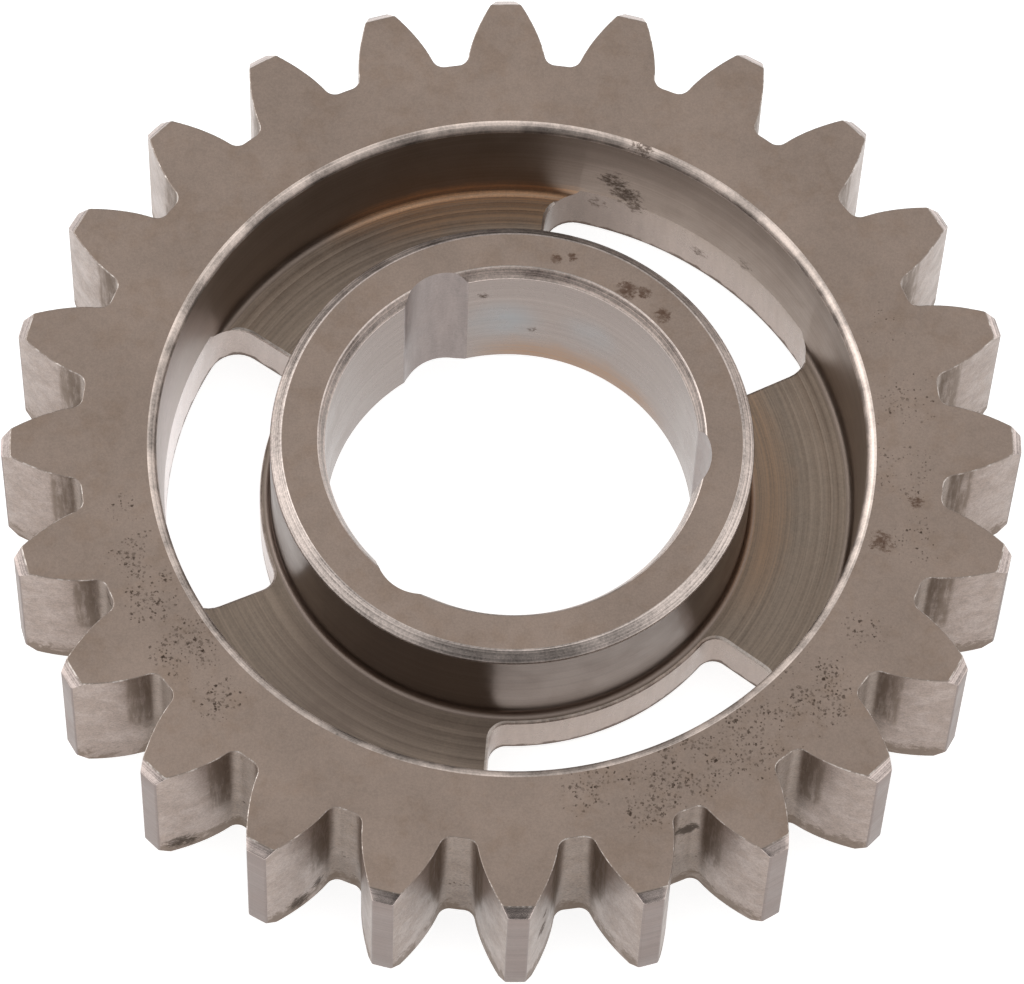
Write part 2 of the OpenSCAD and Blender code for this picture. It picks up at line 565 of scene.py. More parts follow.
@dataclass
class OilGrooves:
    """Cutter of one round oil groove along the bore."""

    blank: Blank
    count: int = 3
    angle: float = 113.8
    groove_r: float = 3.0
    depth: float = 0.85
    ease: float = 0.07
    over: float = 1.0
    mouth: float = 0.4
    steps: int = 24

    def cutter(self) -> bpy.types.Mesh:
        """Makes one groove's cutter, centred on +X.

        Returns:
            The mesh.
        """
        bore = self.blank.bore_r
        middle = bore + self.depth - self.groove_r
        meet = math.acos((bore**2 - middle**2 - self.groove_r**2) / (2 * middle * self.groove_r))
        last = meet - self.ease / self.groove_r
        groove = arc((middle, 0), self.groove_r, -last, last, self.steps)
        x, y = groove[-1]
        at = math.atan2(self.groove_r * math.sin(meet), middle + self.groove_r * math.cos(meet))
        on_bore = polar(bore, at + self.ease / bore)
        way = (Vector(on_bore) - Vector((x, y))).normalized()
        end = Vector(on_bore) + way * self.mouth
        back = middle - self.over
        outline = groove + [tuple(end), (back, end.y), (back, -end.y), (end.x, -end.y)]
        maker = MeshMaker()
        low, high = (maker.row(outline + outline[:1], z) for z in (-self.over, self.blank.hub_top + self.over))
        maker.strip(low, high, [Zone.OIL_GROOVE] * len(outline))
        maker.face(low[:-1], Zone.OIL_GROOVE)
        maker.face(high[-2::-1], Zone.OIL_GROOVE)
        return maker.mesh("oil_groove_cutter")


class Signal:
    """A number, vector or colour in a node tree, with arithmetic that adds nodes."""

    def __init__(self, socket: Socket) -> None:
        """Wraps a node's output."""
        self.socket = socket

    def step(self, kind: str, operation: str, *others: Value) -> bpy.types.Node:
        """Adds a node that works on this value and others.

        Args:
            kind: the node's type.
            operation: what it does.
            *others: its further inputs, in order.

        Returns:
            The node.
        """
        node = add_node(self.socket.id_data, kind, operation=operation)
        for socket, value in zip(node.inputs, (self, *others)):
            feed(socket, value)
        return node

    def math(self, operation: str, *others: Value) -> "Signal":
        """One step of arithmetic on numbers."""
        return Signal(self.step("ShaderNodeMath", operation, *others).outputs[0])

    def vector(self, operation: str, *others: Union["Signal", Triple]) -> "Signal":
        """One step of arithmetic on vectors.

        Args:
            operation: the Vector Math node's operation.
            *others: its further inputs, in order.

        Returns:
            A vector or a number, as the operation gives.
        """
        node = self.step("ShaderNodeVectorMath", operation, *others)
        single = operation in ("LENGTH", "DISTANCE", "DOT_PRODUCT")
        return Signal(node.outputs["Value" if single else "Vector"])

    def __add__(self, other: Value) -> "Signal":
        """The sum."""
        return self.math("ADD", other)

    def __sub__(self, other: Value) -> "Signal":
        """The difference."""
        return self.math("SUBTRACT", other)

    def __mul__(self, other: Value) -> "Signal":
        """The product."""
        return self.math("MULTIPLY", other)

    def scaled(self, factor: Value, offset: Value) -> "Signal":
        """The product with a factor, and an offset added to it."""
        return self.math("MULTIPLY_ADD", factor, offset)

    def ease(self, low: Value, high: Value, to_low: Value = 0.0, to_high: Value = 1.0) -> "Signal":
        """Eases the value from one range to another.

        Args:
            low: start of the first range.
            high: end of the first range.
            to_low: start of the second range.
            to_high: end of the second range.

        Returns:
            The eased value, held at the ends.
        """
        node = add_node(self.socket.id_data, "ShaderNodeMapRange", interpolation_type="SMOOTHSTEP")
        for socket, value in zip(node.inputs, (self, low, high, to_low, to_high)):
            feed(socket, value)
        return Signal(node.outputs[0])

    def swing(self, low: Value, high: Value) -> "Signal":
        """Noise eased between two values."""
        return self.ease(*NOISE_RANGE, low, high)


def feed(socket: Socket, value: object) -> None:
    """Links a socket to its source, or sets its value.

    Args:
        socket: the input.
        value: a source, a number, or a colour of three or four numbers.
    """
    if isinstance(value, Signal):
        value = value.socket
    if isinstance(value, Socket):
        socket.id_data.links.new(value, socket)
    elif socket.type == "RGBA" and len(value) == 3:
        socket.default_value = (*value, 1.0)
    else:
        socket.default_value = value


def add_node(tree: bpy.types.NodeTree, kind: str, **given: object) -> bpy.types.Node:
    """Adds a node.

    Args:
        tree: where it is added.
        kind: the node's type.
        **given: sources or values of its inputs by name, with _ for a space, and its properties.

    Returns:
        The node.
    """
    node = tree.nodes.new(kind)
    for key, value in given.items():
        name = key.replace("_", " ")
        if name in node.inputs:
            feed(node.inputs[name], value)
        else:
            setattr(node, key, value)
    return node


def most(signals: Sequence[Signal]) -> Signal:
    """The largest of several values at each point."""
    return reduce(lambda a, b: a.math("MAXIMUM", b), signals)


def bare_tree(owner: Union[bpy.types.Material, bpy.types.World]) -> bpy.types.NodeTree:
    """Gives a new material or world an empty node tree.

    Args:
        owner: the material or world.

    Returns:
        The tree.
    """
    owner.use_nodes = True
    owner.node_tree.nodes.clear()
    return owner.node_tree


@contextmanager
def reworked(mesh: bpy.types.Mesh) -> Iterator[bmesh.types.BMesh]:
    """Opens a mesh for editing, and writes it back at the end.

    Args:
        mesh: the mesh.

    Yields:
        The mesh as it is edited.
    """
    work = bmesh.new()
    work.from_mesh(mesh)
    yield work
    work.to_mesh(mesh)
    work.free()


def link_object(name: str, data: bpy.types.ID) -> bpy.types.Object:
    """Makes an object and puts it in the scene.

    Args:
        name: the object's name.
        data: its mesh, lamp or camera.

    Returns:
        The object.
    """
    made = bpy.data.objects.new(name, data)
    bpy.context.scene.collection.objects.link(made)
    return made


def baked(source: bpy.types.Object) -> bpy.types.Mesh:
    """Plain mesh of an object, with its modifiers applied."""
    graph = bpy.context.evaluated_depsgraph_get()
    return bpy.data.meshes.new_from_object(source.evaluated_get(graph), depsgraph=graph)


class RingTree:
    """Geometry Nodes tree that copies a mesh round the bore and gives each zone its material."""

    def __init__(self, name: str, materials: dict[Zone, bpy.types.Material]) -> None:
        """Builds the tree.

        Args:
            name: the tree's name.
            materials: the material of each zone in the mesh.
        """
        tree = self.tree = bpy.data.node_groups.new(name, "GeometryNodeTree")
        face = tree.interface
        face.new_socket("Geometry", in_out="INPUT", socket_type="NodeSocketGeometry")
        self.count = face.new_socket("Copies", in_out="INPUT", socket_type="NodeSocketInt")
        self.angle = face.new_socket("First angle", in_out="INPUT", socket_type="NodeSocketFloat")
        self.gap = face.new_socket("Merge distance", in_out="INPUT", socket_type="NodeSocketFloat")
        face.new_socket("Geometry", in_out="OUTPUT", socket_type="NodeSocketGeometry")
        inputs = add_node(tree, "NodeGroupInput").outputs
        points = add_node(tree, "GeometryNodePoints", Count=inputs["Copies"])
        index = Signal(add_node(tree, "GeometryNodeInputIndex").outputs[0])
        share = add_node(tree, "ShaderNodeMath", operation="DIVIDE")
        feed(share.inputs[0], 2 * math.pi)
        feed(share.inputs[1], inputs["Copies"])
        turn = index * share.outputs[0] + inputs["First angle"]
        euler = add_node(tree, "ShaderNodeCombineXYZ", Z=turn)
        spin = add_node(tree, "FunctionNodeEulerToRotation", Euler=euler.outputs[0])
        copies = add_node(tree, "GeometryNodeInstanceOnPoints", Points=points.outputs[0],
                          Instance=inputs["Geometry"], Rotation=spin.outputs[0])
        solid = add_node(tree, "GeometryNodeRealizeInstances", Geometry=copies.outputs[0])
        made = add_node(tree, "GeometryNodeMergeByDistance", Geometry=solid.outputs[0],
                        Distance=inputs["Merge distance"]).outputs[0]
        zone = add_node(tree, "GeometryNodeInputNamedAttribute", data_type="INT", Name="zone").outputs[0]
        for number, material in materials.items():
            chosen = add_node(tree, "FunctionNodeCompare", data_type="INT", operation="EQUAL")
            a, b = (next(s for s in chosen.inputs if s.name == side and s.enabled) for side in "AB")
            feed(a, zone)
            feed(b, int(number))
            made = add_node(tree, "GeometryNodeSetMaterial", Geometry=made, Selection=chosen.outputs[0],
                            Material=material).outputs[0]
        add_node(tree, "NodeGroupOutput", Geometry=made)

    def copy_round(self, mesh: bpy.types.Mesh, count: int, angle: float, merge: float) -> bpy.types.Object:
        """Runs the tree on a mesh.

        Args:
            mesh: what is copied.
            count: number of copies.
            angle: direction of the first copy, in degrees.
            merge: distance in mm within which points are merged.

        Returns:
            A new object with a plain mesh.
        """
        source = link_object(mesh.name, mesh)
        modifier = source.modifiers.new("copies", "NODES")
        modifier.node_group = self.tree
        modifier[self.count.identifier] = count
        modifier[self.angle.identifier] = math.radians(angle)
        modifier[self.gap.identifier] = merge * MM
        made = baked(source)
        source.modifiers.remove(modifier)
        bpy.data.objects.remove(source)
        made.name = mesh.name
        return link_object(mesh.name, made)


@dataclass(frozen=True)
class Mark:
    """A soft round mark on the gear, placed by its centre and radius in mm."""

    x: float
    y: float
    z: float
    r: float
    strength: float = 1.0


@dataclass(frozen=True)
class Band:
    """A coloured band that runs round part of a turned surface, in mm and degrees: rust, and at the rim wall's foot
    also a painted highlight.
    """

    r: float
    z: float
    half_w: float
    angle: float
    half_span: float
    strength: float = 1.0


class Paint:
    """A metal material whose nodes are added one step at a time, on object coordinates in mm."""

    def __init__(self, name: str) -> None:
        """Starts the material.

        Args:
            name: the material's name.
        """
        self.material = bpy.data.materials.new(name)
        self.tree = bare_tree(self.material)
        self.shader = self.add("ShaderNodeBsdfPrincipled", Metallic=1.0)
        self.add("ShaderNodeOutputMaterial", Surface=self.shader.outputs[0])
        self.point = self.stretched((1 / MM,) * 3, Signal(self.add("ShaderNodeTexCoord").outputs["Object"]))
        self.z = Signal(self.add("ShaderNodeSeparateXYZ", Vector=self.point).outputs["Z"])
        self.flat = self.stretched((1, 1, 0))
        self.radius = self.flat.vector("LENGTH")

    def add(self, kind: str, **given: object) -> bpy.types.Node:
        """Adds a node to the material."""
        return add_node(self.tree, kind, **given)

    def stretched(self, factors: Triple, point: Optional[Signal] = None) -> Signal:
        """The point on the surface, or another, multiplied along each axis."""
        return (point or self.point).vector("MULTIPLY", factors)

    def join(self, x: Value, y: Value, z: Value) -> Signal:
        """A vector of three values."""
        return Signal(self.add("ShaderNodeCombineXYZ", X=x, Y=y, Z=z).outputs[0])

    def noise(self, scale: float, detail: float = 2.0, at: Optional[Signal] = None, rough: float = 0.5,
              warp: float = 0.0) -> Signal:
        """Noise from about 0 to 1.

        Args:
            scale: features in each mm.
            detail: finer layers.
            at: where it is sampled, or None for the point on the surface.
            rough: how strong the finer layers are.
            warp: how far the noise bends itself.

        Returns:
            The noise.
        """
        return Signal(self.add("ShaderNodeTexNoise", Vector=at or self.point, Scale=scale, Detail=detail,
                               Roughness=rough, Distortion=warp).outputs[0])

    def mix(self, share: Value, a: Paintable, b: Paintable, blend: str = "MIX") -> Signal:
        """Mixes two colours.

        Args:
            share: how much of b shows.
            a: first colour.
            b: second colour.
            blend: the Mix node's blend type.

        Returns:
            The mixed colour.
        """
        node = self.add("ShaderNodeMix", data_type="RGBA", blend_type=blend, Factor=share)
        for socket, value in zip([s for s in node.inputs if s.type == "RGBA"], (a, b)):
            feed(socket, value)
        return Signal(next(s for s in node.outputs if s.type == "RGBA"))

    def tint(self, colour: Paintable, gain: Signal) -> Signal:
        """A colour made lighter or darker by a factor."""
        return self.mix(1.0, colour, self.join(gain, gain, gain), "MULTIPLY")

    def marks(self, places: Sequence[Mark]) -> Signal:
        """A mask of soft round fields, up to each field's strength at its middle."""
        return most([self.point.vector("DISTANCE", (m.x, m.y, m.z)).ease(m.r, 0.15 * m.r, 0, m.strength)
                     for m in places])

    def ragged(self, places: Sequence[Mark], scale: float, stretch: Triple, reach: float) -> Signal:
        """A mask of soft round fields, broken up into ragged flecks.

        Args:
            places: the fields.
            scale: features of the flecks in each mm.
            stretch: how much finer they are along each axis.
            reach: how strongly they break up the fields.

        Returns:
            The broken mask, from 0 to 1.
        """
        mask = self.marks(places)
        flecks = self.noise(scale, 3, self.stretched(stretch), 0.75).scaled(reach, -0.5 * reach)
        return (mask + flecks * mask.ease(0, 0.3)).ease(0.35, 0.75)

    def bands(self, places: Sequence[Band]) -> Signal:
        """A mask of soft bands that run round the bore, with wavering edges.

        Args:
            places: the bands.

        Returns:
            The mask, up to each band's strength at its middle.
        """
        waver = self.noise(0.5, 3).scaled(0.9, 0.55)
        way, section = self.flat.vector("NORMALIZE"), self.join(self.radius, self.z, 0.0)
        found = []
        for place in places:
            end, full = (math.cos(math.radians(place.half_span * share)) for share in (1, 0.3))
            along = way.vector("DOT_PRODUCT", (*polar(1, math.radians(place.angle)), 0)).ease(end, full)
            across = section.vector("DISTANCE", (place.r, place.z, 0)).math("DIVIDE", place.half_w) * waver
            found.append(along * across.ease(1, 0.2, 0, place.strength))
        return most(found)

    def pits(self, scale: float, size: float, density: Value, flat: bool = False) -> Signal:
        """A mask of small pits, one at most in each cell, each with its own size and depth of colour.

        Args:
            scale: cells in each mm.
            size: radius of the largest pits, in mm.
            density: share of the cells that hold a pit.
            flat: whether the surface is level, so that no height is needed.

        Returns:
            The mask, up to 1 inside the pits.
        """
        cells = self.add("ShaderNodeTexVoronoi", voronoi_dimensions="2D" if flat else "3D", Vector=self.point,
                         Scale=scale)
        chance, depth, _ = self.add("ShaderNodeSeparateColor", Color=cells.outputs["Color"]).outputs
        size = size * scale
        there = Signal(chance).scaled(-1.0, density).math("MAXIMUM", 0.0)
        reach = there.math("POWER", 0.4) * (1.6 * size) * (self.noise(3.5 * scale, 0) * 2.0)
        inside = (reach - cells.outputs["Distance"]).ease(0, 0.8 * size)
        return inside * Signal(depth).ease(0, 1, 0.45, 1)

    def lathe(self, scale: float, drift: float = 0.05, detail: float = 2.0) -> Signal:
        """Noise that makes fine lines turned round the bore.

        Args:
            scale: lines in each mm.
            drift: how fast the lines change along their length.
            detail: finer layers.

        Returns:
            The noise.
        """
        line = self.join(self.radius * scale, self.z * scale, 0.0)
        return self.noise(1, detail, line.vector("ADD", self.stretched((drift,) * 3)), 0.6)

    def round_tangent(self) -> Signal:
        """Direction across the turned lines, which a turned surface spreads its highlights along.

        Returns:
            The direction, of length 1.
        """
        normal = self.add("ShaderNodeNewGeometry").outputs["Normal"]
        across = self.flat.vector("CROSS_PRODUCT", (0, 0, 1)).vector("CROSS_PRODUCT", normal)
        return across.vector("NORMALIZE")

    def finish(self, colour: Paintable, rough: Signal, relief: Sequence[tuple[Signal, float]],
               anisotropy: float = 0.0) -> bpy.types.Material:
        """Wires the shader.

        Args:
            colour: base colour.
            rough: roughness.
            relief: layers of noise that roughen the surface, each with its depth in mm.
            anisotropy: how far highlights are spread across the turned lines.

        Returns:
            The material.
        """
        height: Value = 0.0
        for layer, depth in relief:
            height = layer.scaled(depth, height)
        bump = self.add("ShaderNodeBump", Strength=1.0, Distance=MM, Height=height)
        given = {"Base Color": colour, "Roughness": rough, "Normal": bump.outputs[0]}
        if anisotropy:
            given |= {"Anisotropic": anisotropy, "Tangent": self.round_tangent()}
        for name, value in given.items():
            feed(self.shader.inputs[name], value)
        return self.material


def on_level(z: float, *rows: tuple[float, ...]) -> tuple[Mark, ...]:
    """Marks on a level face at a height, from rows of x, y, radius and strength."""
    return tuple(Mark(x, y, z, r, strength) for x, y, r, strength in rows)


RIM_TOP, HUB_TOP = Blank.face_w, Blank.face_w + Blank.hub_proud
PIT_FIELDS = on_level(
    RIM_TOP,
    (-25.4, -4.9, 2.4, 0.5), (-24.6, -8.2, 3.4, 0.75), (-23.2, -11.4, 3.8, 0.9), (-21.4, -15.0, 3.6, 0.95),
    (-19.3, -18.2, 3.0, 0.7), (4.9, -24.9, 3.6, 0.8), (8.6, -25.4, 4.2, 1.0), (11.0, -23.2, 4.2, 1.0),
    (15.2, -21.4, 4.6, 1.0), (19.4, -18.2, 4.4, 1.0), (22.8, -13.8, 3.2, 0.5), (26.1, 3, 4.0, 0.5),
    (25.5, -2.2, 4.0, 0.5), (26.3, -7.3, 3.4, 0.5), (24.8, 8.5, 3.2, 0.4))
FACE_STAINS = on_level(RIM_TOP, (24.1, -7.4, 1.6, 0.68), (26.5, -4.5, 1.0, 0.6)) + on_level(
    HUB_TOP, (7.8, 11, 1.3, 0.8), (8.9, 10.8, 0.9, 0.75), (3.1, 13.3, 0.8, 0.7), (4.2, 13.5, 0.7, 0.75),
    (10.1, 9.1, 1.0, 0.7))
NICKS = (Mark(11.1, -26.3, 8.8, 1.3, 0.95), Mark(10.6, -26.6, 9.0, 0.9, 0.8), Mark(1.85, -31.95, 5.4, 1.3, 0.75),
         Mark(1.95, -31.6, 7.2, 0.9, 0.65), Mark(26.8, -11.1, 10.2, 1.1, 0.7), Mark(28.2, -4.2, 9.6, 1.2, 0.6),
         Mark(-28.3, -3.7, 10.4, 1.3, 0.65), Mark(-26.4, -10.9, 10.6, 1.2, 0.6),
         Mark(-22.1, -23.7, 1.4, 1.5, 0.85), Mark(-21.3, -23.8, 1.0, 1.2, 0.7),
         Mark(-14.2, -28.1, 1.2, 1.6, 0.8), Mark(-12.7, -27.3, 2.0, 1.2, 0.7))


@dataclass(frozen=True)
class GroundFace:
    """Lapped faces of the rim and hub: matte, with fine grain, pits and a few brown stains."""

    colour: Colour = (0.289, 0.226, 0.188)
    warm: Colour = (0.245, 0.178, 0.135)
    dark: Colour = (0.06, 0.04, 0.03)
    stain: Colour = (0.10, 0.058, 0.04)
    roughness: float = 0.5
    pit_shade: float = 0.92
    pit_kinds: tuple[tuple[float, ...], ...] = ((2.4, 0.12, 0.85, 0.012), (4.0, 0.075, 0.75, 0.025),
                                                (1.4, 0.16, 0.42, 0.006))

    def build(self) -> bpy.types.Material:
        """Makes the material.

        Returns:
            The material.
        """
        p = Paint("lapped_face")
        grain, mottle, cloud = p.noise(7, 2, rough=0.8), p.noise(1.3, 3, rough=0.7), p.noise(0.13, 2)
        gain = grain.swing(0.93, 1.06) + cloud.swing(-0.06, 0.06) + mottle.swing(-0.07, 0.07)
        warmth = p.noise(0.45, 3, rough=0.65).ease(0.46, 0.68, 0, 0.4)
        colour = p.tint(p.mix(warmth, self.colour, self.warm), gain)
        stains = p.ragged(FACE_STAINS, 2.6, (1, 1.5, 1), 1.6) * mottle.ease(0.3, 0.6, 0.5, 0.9)
        colour = p.mix(stains, colour, self.stain)
        fields = p.marks(PIT_FIELDS).ease(0, 0.85) * p.noise(0.55, 2).ease(0.36, 0.57, 0.3, 1)
        small, fine, large = (p.pits(scale, size, fields.scaled(inside, outside), True)
                              for scale, size, inside, outside in self.pit_kinds)
        pits = most([most([small, fine]) * mottle.ease(0.35, 0.65, 0.5, 1.0), large])
        colour = p.mix(pits * self.pit_shade, colour, self.dark)
        rough = mottle.swing(self.roughness - 0.06, self.roughness + 0.07) + pits * 0.25
        return p.finish(colour, rough, [(grain, 0.006), (mottle, 0.012)])


@dataclass(frozen=True)
class ToothFlank:
    """Ground flanks and hobbed roots: lighter flanks and darker, pitted roots, with painted shade in upright brown
    lines beside the roots.
    """

    colour: Colour = (0.29, 0.225, 0.19)
    pale: Colour = (0.39, 0.318, 0.288)
    root_colour: Colour = (0.27, 0.215, 0.178)
    # Brown of the rust, also used for the painted shade beside the roots
    brown: Colour = (0.17, 0.12, 0.085)
    dark: Colour = (0.075, 0.055, 0.042)
    roughness: float = 0.34
    step_z: float = 4.5
    root_r: Span = (30.3, 29.0)
    land_r: Span = (28.9, 28.62)
    shade_band_top_r: Span = (30.7, 30.35)
    # Radii of the painted shade beside the roots, and of its deepening towards the root
    shade_band_foot_r: Span = (28.85, 29.1)
    root_shade_r: Span = (31.6, 29.4)

    def build(self) -> bpy.types.Material:
        """Makes the material.

        Returns:
            The material.
        """
        p = Paint("ground_flank")
        upright = p.noise(2.4, 3, p.stretched((1, 1, 0.13)), 0.7)
        cloud = p.noise(0.5, 3, rough=0.65, warp=0.5)
        mottle, grain = p.noise(1.9, 4, rough=0.75), p.noise(7, 2, rough=0.75)
        root, root_land = p.radius.ease(*self.root_r), p.radius.ease(*self.land_r)
        colour = p.mix(cloud.ease(0.4, 0.68, 0.05, 0.4), self.colour, self.pale)
        colour = p.mix(root * 0.75, colour, self.root_colour)
        gain = mottle.ease(0.35, 0.65, 0.9, 1.1) + grain.swing(-0.16, 0.16)
        colour = p.tint(colour, gain - root_land * p.z.ease(self.step_z + 0.2, self.step_z - 0.4, 0, 0.1))
        # Painted shade: a dark band beside each root on the upper part of the flank, standing for the neighbouring
        # tooth's dark reflection, broken into upright brown lines and deepening towards the root
        neighbour_shade = p.radius.ease(*self.shade_band_top_r) * p.radius.ease(*self.shade_band_foot_r)
        neighbour_shade = neighbour_shade * cloud.scaled(5.0, p.z).ease(6.6, 8.0)
        shade_streaks = neighbour_shade.scaled(0.72, p.radius.ease(*self.root_shade_r, 0, 0.15)) * upright.ease(0.36, 0.56, 0.35, 1)
        colour = p.mix(shade_streaks, colour, self.brown)
        low = mottle.scaled(4.0, p.z).ease(3.9, 2.9) * cloud.ease(0.36, 0.48)
        rust = most([mottle.ease(0.56, 0.7) * root.scaled(0.6, 0.25), low])
        colour = p.mix(rust * 0.8, colour, self.brown)
        ledge = root_land * (p.z - self.step_z).math("ABSOLUTE").ease(1.2, 0.1)
        pits = p.pits(2.2, 0.1, root.scaled(0.1, ledge.scaled(0.9, 0.07)))
        pits = most([pits, p.ragged(NICKS, 2.6, (1, 1, 2.4), 1.9)])
        colour = p.mix(pits * 0.72, colour, self.dark)
        rough = cloud.swing(self.roughness + 0.05, self.roughness - 0.04) + root.scaled(0.08, pits * 0.3)
        rough = most([rust, shade_streaks]).scaled(0.12, rough)
        return p.finish(colour, rough, [(mottle, 0.009), (grain, 0.006)])


@dataclass(frozen=True)
class TurnedFinish:
    """A turned surface with fine lines round the bore."""

    name: str
    colour: Colour
    roughness: float
    lines: float = 9.0
    depth: float = 0.006
    contrast: float = 0.1
    anisotropy: float = 0.4
    uneven: float = 0.6
    spots: tuple[Mark, ...] = ()
    smears: tuple[Mark, ...] = ()
    spot_colour: Colour = (0.09, 0.055, 0.036)
    rust: tuple[Band, ...] = ()
    rust_and_highlight_colour: Colour = (0.40, 0.215, 0.10)
    cast: tuple[Mark, ...] = ()
    cast_colour: Colour = (0.3, 0.33, 0.35)
    broken: float = 0.0
    dull: Colour = (0.25, 0.2, 0.17)
    pitted: float = 0.03
    # Painted shade: how much darker a wall grows towards its foot at the web, over the radii foot_r
    foot_shade: float = 0.0
    foot_r: Span = (22.95, 23.12)

    def build(self) -> bpy.types.Material:
        """Makes the material.

        Returns:
            The material.
        """
        p = Paint(self.name)
        fine, broad = p.lathe(self.lines), p.lathe(self.lines / 5, 0.03, 1)
        cloud, grain = p.noise(0.35, 3, rough=0.65), p.noise(6, 2, rough=0.75)
        strong, weak, slow = self.contrast, 0.6 * self.contrast, self.uneven * self.contrast
        gain = fine.ease(0.32, 0.68, 1 - strong, 1 + strong) + broad.swing(-weak, weak)
        gain = gain + cloud.ease(0.35, 0.65, -slow, slow) + grain.swing(-weak, weak)
        # Painted shade at the foot of the wall, where it meets the web
        if self.foot_shade:
            gain = gain * p.radius.ease(*self.foot_r, 1 - self.foot_shade, 1)
        colour = p.tint(self.colour, gain)
        rough = cloud.swing(self.roughness - 0.04, self.roughness + 0.05)
        if self.broken:
            colour = p.mix(p.noise(1.3, 4, rough=0.75).ease(0.47, 0.62, self.broken, 0), colour, self.dull)
        # Soft patches of another colour: a painted reflection of the floor on the rim wall's left end, darker
        # patches on the web, blue-grey ones in the bore
        if self.cast:
            colour = p.mix(p.marks(self.cast) * cloud.swing(0.5, 1), colour, self.cast_colour)
        # Rust bands; the rim wall's foot band is coloured bright enough to be a painted highlight of its fillet as
        # well
        if self.rust:
            rust_and_highlight_mask = p.bands(self.rust) * fine.ease(0.3, 0.66, 0.35, 1) * grain.swing(0.7, 1)
            colour = p.mix(rust_and_highlight_mask, colour, self.rust_and_highlight_colour)
            rough = rust_and_highlight_mask.scaled(0.15, rough)
        dirt = [p.pits(2.2, 0.06, self.pitted)]
        if self.spots:
            dirt.append(p.ragged(self.spots, 3.0, (1, 1, 1.4), 1.9))
        if self.smears:
            dirt.append(p.ragged(self.smears, 2.4, (1, 1, 1.4), 1.5))
        colour = p.mix(most(dirt) * 0.72, colour, self.spot_colour)
        rough = most(dirt).scaled(0.25, rough)
        return p.finish(colour, rough, [(broad, self.depth * 1.5), (fine, self.depth)], self.anisotropy)


@dataclass(frozen=True)
class MilledWall:
    """Walls of the slots and oil grooves: smooth, slightly mottled, with upright milling marks."""

    name: str
    colour: Colour
    roughness: float
    contrast: float = 0.08
    smears: tuple[Mark, ...] = ()
    stain_colour: Colour = (0.09, 0.055, 0.036)
    upper: Optional[Colour] = None
    upper_z: Span = (2.0, 6.5)
    tones: tuple[tuple[Mark, Colour], ...] = ()
    # Height of a ragged line below which the wall is darker, or None
    dark_bottom_z: Optional[float] = None

    def build(self) -> bpy.types.Material:
        """Makes the material.

        Returns:
            The material.
        """
        p = Paint(self.name)
        marks = p.noise(1.6, 4, p.stretched((1, 1, 0.16)), 0.6)
        cloud, grain = p.noise(0.7, 3, rough=0.65), p.noise(6, 2, rough=0.75)
        c = self.contrast
        gain = marks.swing(1 - c, 1 + c) + cloud.swing(-c, c) + grain.swing(-c, c)
        colour: Paintable = self.colour
        if self.upper:
            colour = p.mix(p.z.ease(*self.upper_z), colour, self.upper)
        # Soft patches of other colours; on the slots a darker patch and a painted reflection of the floor
        for mark, tone in self.tones:
            colour = p.mix(p.marks((mark,)), colour, tone)
        colour = p.tint(colour, gain)
        dirt = [p.pits(1.5, 0.12, 0.1) * 0.7]
        if self.smears:
            dirt.append(p.ragged(self.smears, 2.4, (1, 1, 1.4), 1.5))
        # Darker along the bottom of the wall, below a ragged line
        if self.dark_bottom_z is not None:
            ragged_edge = p.noise(1.1, 4) + (self.dark_bottom_z - 0.45)
            dirt.append((p.z - ragged_edge).ease(0.12, -0.12))
        dark_marks = most(dirt)
        colour = p.mix(dark_marks * 0.75, colour, self.stain_colour)
        rough = dark_marks.scaled(0.2, cloud.swing(self.roughness - 0.05, self.roughness + 0.06))
        return p.finish(colour, rough, [(marks, 0.02), (grain, 0.006)])


